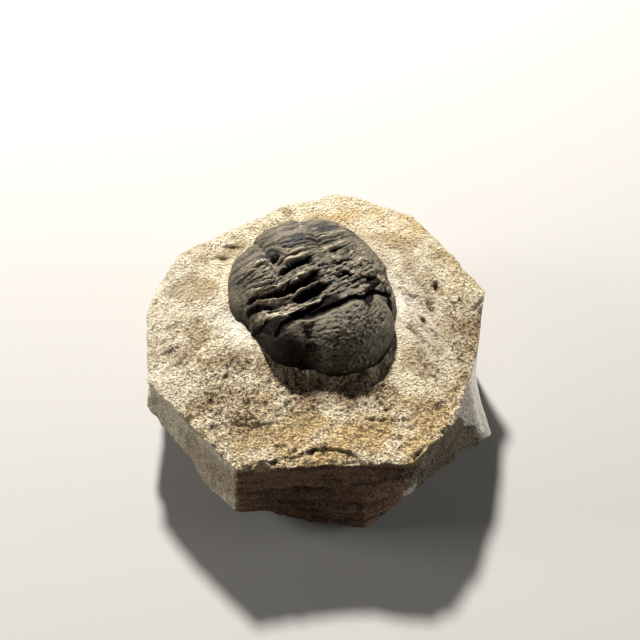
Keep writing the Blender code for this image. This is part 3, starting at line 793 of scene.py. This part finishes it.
def make_slab():
    """The slab's surface. Its first and last rings shrink to a point, so they are left out and fans
    close the grid."""
    points, stains = slab_skin()
    values = {name: value[1:-1] for name, value in stains.items()}
    return grid_mesh("limestone_skin", points[1:-1], values)


def new_group(name, inputs, outputs):
    """A shader node group with these float inputs, each with its starting value, and these outputs."""
    group = bpy.data.node_groups.new(name, "ShaderNodeTree")
    for label, value in inputs.items():
        socket = group.interface.new_socket(label, in_out="INPUT", socket_type="NodeSocketFloat")
        socket.default_value = value
    for label in outputs:
        group.interface.new_socket(label, in_out="OUTPUT", socket_type="NodeSocketFloat")
    return group, group.nodes.new("NodeGroupInput"), group.nodes.new("NodeGroupOutput")


def node(tree, kind, settings=None, **links):
    """Adds a node. Settings are its own properties; links are its inputs, each a value or a socket."""
    made = tree.nodes.new(kind)
    for key, value in (settings or {}).items():
        setattr(made, key, value)
    for key, value in links.items():
        socket = made.inputs[int(key[1:])] if key[0] == "i" and key[1:].isdigit() else made.inputs[key]
        if isinstance(value, bpy.types.NodeSocket):
            tree.links.new(value, socket)
        else:
            socket.default_value = value
    return made


def maths(tree, operation, a, b=0.0, clamp=False):
    made = node(tree, "ShaderNodeMath", {"operation": operation, "use_clamp": clamp}, i0=a, i1=b)
    return made.outputs[0]


def object_place(tree):
    return tree.nodes.new("ShaderNodeTexCoord").outputs["Object"]


def step_up(tree, value, low, high):
    """Maps low..high to 0..1 along an S curve."""
    made = node(
        tree, "ShaderNodeMapRange", {"interpolation_type": "SMOOTHSTEP"},
        Value=value, **{"From Min": low, "From Max": high},
    )
    return made.outputs["Result"]


def grit_group():
    """Grit: noise of two sizes, as a height, and a mask of the crumbs that stand out most."""
    group, given, result = new_group(
        "Grit", {"Scale": 1500.0, "Fine Share": 0.5, "Crumb Level": 0.6}, ("Height", "Crumbs", "Tone")
    )
    place = object_place(group)
    coarse = node(group, "ShaderNodeTexNoise", Vector=place, Scale=given.outputs["Scale"], Detail=3.0)
    fine_scale = maths(group, "MULTIPLY", given.outputs["Scale"], 2.7)
    fine = node(group, "ShaderNodeTexNoise", Vector=place, Scale=fine_scale, Detail=2.0)
    fine_part = maths(group, "MULTIPLY", fine.outputs["Fac"], given.outputs["Fine Share"])
    height = maths(group, "ADD", coarse.outputs["Fac"], fine_part)
    crumb_top = maths(group, "ADD", given.outputs["Crumb Level"], 0.08)
    crumbs = step_up(group, fine.outputs["Fac"], given.outputs["Crumb Level"], crumb_top)
    group.links.new(height, result.inputs["Height"])
    group.links.new(crumbs, result.inputs["Crumbs"])
    group.links.new(coarse.outputs["Fac"], result.inputs["Tone"])
    return group


def speck_group():
    """Specks: a mask of small dark grains, thicker where a wide noise is high."""
    group, given, result = new_group("Specks", {"Scale": 900.0, "Amount": 0.3}, ("Mask",))
    place = object_place(group)
    small = node(group, "ShaderNodeTexNoise", Vector=place, Scale=given.outputs["Scale"], Detail=2.0)
    wide_scale = maths(group, "MULTIPLY", given.outputs["Scale"], 0.12)
    wide = node(group, "ShaderNodeTexNoise", Vector=place, Scale=wide_scale, Detail=2.0)
    wide_part = maths(group, "MULTIPLY", wide.outputs["Fac"], 0.45)
    thickness = maths(group, "ADD", small.outputs["Fac"], wide_part)
    level = maths(group, "SUBTRACT", 1.02, maths(group, "MULTIPLY", given.outputs["Amount"], 0.5))
    mask = step_up(group, thickness, level, maths(group, "ADD", level, 0.07))
    group.links.new(mask, result.inputs["Mask"])
    return group


def place_group(tree, group, **values):
    made = tree.nodes.new("ShaderNodeGroup")
    made.node_tree = group
    for key, value in values.items():
        made.inputs[key.replace("_", " ")].default_value = value
    return made.outputs


def mixed(tree, share, below, above, how="MIX"):
    """Colour mix; below and above are RGB triples or sockets."""
    made = tree.nodes.new("ShaderNodeMix")
    made.data_type = "RGBA"
    made.blend_type = how
    for socket, value in ((made.inputs[0], share), (made.inputs[6], below), (made.inputs[7], above)):
        if isinstance(value, bpy.types.NodeSocket):
            tree.links.new(value, socket)
        else:
            socket.default_value = value if isinstance(value, float) else (*value, 1.0)
    return made.outputs[2]


def stain(tree, name):
    made = tree.nodes.new("ShaderNodeAttribute")
    made.attribute_name = name
    return made.outputs["Fac"]


def new_material(name, roughness, specular):
    material = bpy.data.materials.new(name)
    material.use_nodes = True
    shader = material.node_tree.nodes["Principled BSDF"]
    shader.inputs["Roughness"].default_value = roughness
    shader.inputs["Metallic"].default_value = 0.0
    shader.inputs["Specular IOR Level"].default_value = specular
    return material, material.node_tree, shader


def bump(tree, shader, height, strength, distance):
    made = node(tree, "ShaderNodeBump", Strength=strength, Distance=distance, Height=height)
    tree.links.new(made.outputs["Normal"], shader.inputs["Normal"])


def limestone_material(grit, specks):
    """Cream and tan by a slow noise, under ochre, brown, the bedded front with its seams, the broken
    grey, the pale scraped and sawn places and the white facet; the brown and the near-black also paint
    the shadow under the head. Grain darkens it where the stone is grainy: painted shade in the low
    spots of the grain's bump, partly the stone's own grain tone. Specks lie on top, and crumbs that are
    partly the stone's own and partly a painted highlight on the raised points."""
    material, tree, shader = new_material("limestone", 0.92, 0.2)
    grain = place_group(tree, grit, Scale=1500.0, Fine_Share=0.6, Crumb_Level=0.60)
    cloud = place_group(tree, grit, Scale=150.0, Fine_Share=0.3, Crumb_Level=0.5)
    thick = place_group(tree, specks, Scale=1250.0, Amount=0.50)
    thin = place_group(tree, specks, Scale=2300.0, Amount=0.36)
    colour = mixed(tree, step_up(tree, cloud["Tone"], 0.40, 0.62), CREAM, TAN)
    ochre_share = maths(tree, "MULTIPLY", stain(tree, "ochre"), step_up(tree, cloud["Height"], 0.45, 0.75))
    colour = mixed(tree, maths(tree, "MULTIPLY", ochre_share, 0.8), colour, OCHRE)
    for name, strength, over in STONE_COLOURS:
        colour = mixed(tree, maths(tree, "MULTIPLY", stain(tree, name), strength), colour, over)
    tone = step_up(tree, grain["Tone"], 0.42, 0.58)
    rub = maths(tree, "SUBTRACT", 1.0, maths(tree, "MULTIPLY", stain(tree, "pale"), 0.75))
    grainy = maths(tree, "MULTIPLY", rub, stain(tree, "grainy"))
    # Painted shade: the grain's low spots, which are also low in the bump, are darkened, partly the stone's
    # own grain tone.
    colour = mixed(tree, grainy, colour, mixed(tree, tone, GRAIN_SHADE, LIGHT_GRAIN), "MULTIPLY")
    in_brown = step_up(tree, stain(tree, "brown"), 0.06, 0.40)
    coarse_place = maths(tree, "ADD", in_brown, maths(tree, "MULTIPLY", stain(tree, "ochre"), 0.35), True)
    mask = maths(tree, "MAXIMUM", thin["Mask"], maths(tree, "MULTIPLY", thick["Mask"], coarse_place))
    colour = mixed(tree, maths(tree, "MULTIPLY", mask, rub), colour, SPECK)
    # Partly a painted highlight: the crumbs that stand highest in the bump are lightened.
    colour = mixed(tree, maths(tree, "MULTIPLY", grain["Crumbs"], 0.5), colour, CRUMB_AND_HIGHLIGHT)
    tree.links.new(colour, shader.inputs["Base Color"])
    bump(tree, shader, maths(tree, "MULTIPLY", grain["Height"], rub), 1.0, 0.0030)
    return material


def fossil_material(grit):
    """Warm dark grey, blacker where shade is painted: on the faces turned from the light, in low places
    and in hollows. Lighter on worn ridges and crumbs, with painted glints on the head's grains.
    Hollows and the places of painted shade shine less."""
    material, tree, shader = new_material("fossil", 0.5, 0.35)
    grain = place_group(tree, grit, Scale=1600.0, Fine_Share=0.6, Crumb_Level=0.62)
    cloud = place_group(tree, grit, Scale=260.0, Fine_Share=0.4, Crumb_Level=0.5)
    colour = mixed(tree, step_up(tree, cloud["Tone"], 0.35, 0.65), FOSSIL_GREY, FOSSIL_WARM)
    # Painted shade on the faces turned from the light.
    colour = mixed(tree, stain(tree, "painted_shade"), colour, FOSSIL_SHADE_BLACK)
    # Lighter on worn places, with painted glints on the head's grain tops.
    colour = mixed(tree, step_up(tree, stain(tree, "proud"), 0.45, 0.95), colour, FOSSIL_WORN)
    # Painted shade: low places of the fine relief painted black.
    colour = mixed(tree, step_up(tree, stain(tree, "proud"), 0.22, 0.0), colour, FOSSIL_SHADE_BLACK)
    # Painted shade: hollows and the crease painted near-black.
    colour = mixed(tree, step_up(tree, stain(tree, "hollow"), 0.04, 0.34), colour, FOSSIL_HOLLOW_SHADE)
    colour = mixed(tree, maths(tree, "MULTIPLY", grain["Crumbs"], 0.30), colour, FOSSIL_WORN)
    tree.links.new(colour, shader.inputs["Base Color"])
    gloss = node(
        tree, "ShaderNodeMapRange", Value=cloud["Height"], **{"To Min": 0.42, "To Max": 0.62}
    )
    tree.links.new(gloss.outputs["Result"], shader.inputs["Roughness"])
    open_part = maths(tree, "SUBTRACT", 1.0, maths(tree, "MULTIPLY", stain(tree, "hollow"), 2.0), True)
    open_part = maths(tree, "MULTIPLY", open_part, maths(tree, "SUBTRACT", 1.25, stain(tree, "painted_shade")))
    dull = maths(tree, "MULTIPLY", open_part, 0.19)
    tree.links.new(dull, shader.inputs["Specular IOR Level"])
    bump(tree, shader, grain["Height"], 0.8, 0.0003)
    return material


def make_camera():
    """The camera looks down at the target from the -Y side, so far off that the view there is as wide
    as VIEW_WIDTH: distance = width * lens / sensor."""
    back = np.array([0.0, -np.cos(ELEVATION), np.sin(ELEVATION)])
    data = bpy.data.cameras.new("camera")
    data.lens = LENS
    data.sensor_width = SENSOR
    data.clip_start = 0.01
    data.clip_end = 20.0
    camera = bpy.data.objects.new("camera", data)
    camera.location = (TARGET + back * VIEW_WIDTH * LENS / SENSOR) * MM
    camera.rotation_euler = Vector(-back).to_track_quat("-Z", "Y").to_euler()
    bpy.context.scene.collection.objects.link(camera)
    bpy.context.scene.camera = camera


def area_light(name, place, aim, size, power, colour):
    data = bpy.data.lights.new(name, "AREA")
    data.shape = "DISK"
    data.size = size
    data.energy = power
    data.color = colour
    light = bpy.data.objects.new(name, data)
    light.location = place
    light.rotation_euler = (Vector(aim) - Vector(place)).to_track_quat("-Z", "Y").to_euler()
    bpy.context.scene.collection.objects.link(light)


def make_studio():
    """A wide pale floor under the base, a key light behind and above, a low one at the left, weak wide
    fills, and a faint even room light."""
    mesh = bpy.data.meshes.new("floor")
    corners = [(-1, -1), (1, -1), (1, 1), (-1, 1)]
    mesh.from_pydata([(x * FLOOR_HALF, y * FLOOR_HALF, 0.0) for x, y in corners], [], [(0, 1, 2, 3)])
    material, _, shader = new_material("floor_paper", 0.9, 0.2)
    shader.inputs["Base Color"].default_value = (*FLOOR_GREY, 1.0)
    mesh.materials.append(material)
    floor = bpy.data.objects.new("floor", mesh)
    bpy.context.scene.collection.objects.link(floor)
    for light in LIGHTS:
        area_light(*light)
    world = bpy.data.worlds.new("soft_room")
    world.use_nodes = True
    back = world.node_tree.nodes["Background"]
    back.inputs["Color"].default_value = (*ROOM_GREY, 1.0)
    back.inputs["Strength"].default_value = ROOM_STRENGTH
    bpy.context.scene.world = world
    bpy.context.scene.view_settings.view_transform = "Standard"


def dress(piece, node_name, material):
    piece.data.materials.append(material)
    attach(piece, "root")
    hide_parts(node_name)


def build():
    grit = grit_group()
    specks = speck_group()
    dress(make_fossil(), "trilobite", fossil_material(grit))
    dress(make_slab(), "limestone_matrix", limestone_material(grit, specks))
    make_camera()
    make_studio()


build()
